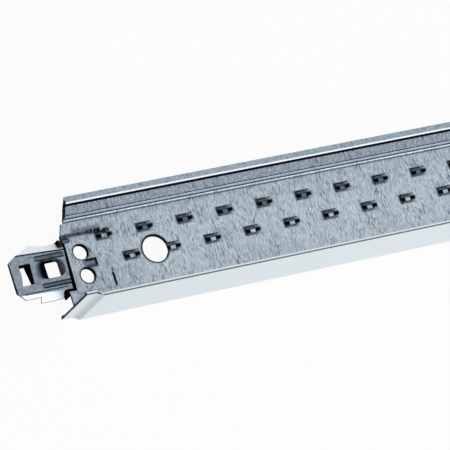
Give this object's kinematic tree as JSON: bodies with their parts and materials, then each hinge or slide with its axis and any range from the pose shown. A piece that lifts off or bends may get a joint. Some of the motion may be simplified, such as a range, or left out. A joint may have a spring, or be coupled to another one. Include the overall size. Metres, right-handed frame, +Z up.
{
  "type": "ceiling grid cross tee",
  "caption": "Cross tee for an exposed ceiling grid: stitched galvanised web with a peaked bulb, a white steel face cap, stepped flange ends and a stamped clip at each end.",
  "frame": {"origin": "under the middle of the tee as it lies on its side, at floor level", "axes": "+X along the tee, +Y from the visible face towards the bulb, +Z up; the web leans 14.9 degrees from level"},
  "size_m": [0.623, 0.0398, 0.0235],
  "materials": {
    "galvanised_steel": "hot-dip galvanised sheet with fine spangle",
    "clip_steel": "stamped spring steel, zinc plated, a little darker",
    "white_paint": "white coil-coated steel, satin"
  },
  "bodies": {
    "root": {"tee_body": "galvanised_steel", "face_cap": "white_paint", "end_clip_left": "clip_steel", "end_clip_right": "clip_steel"}
  },
  "joints": []
}
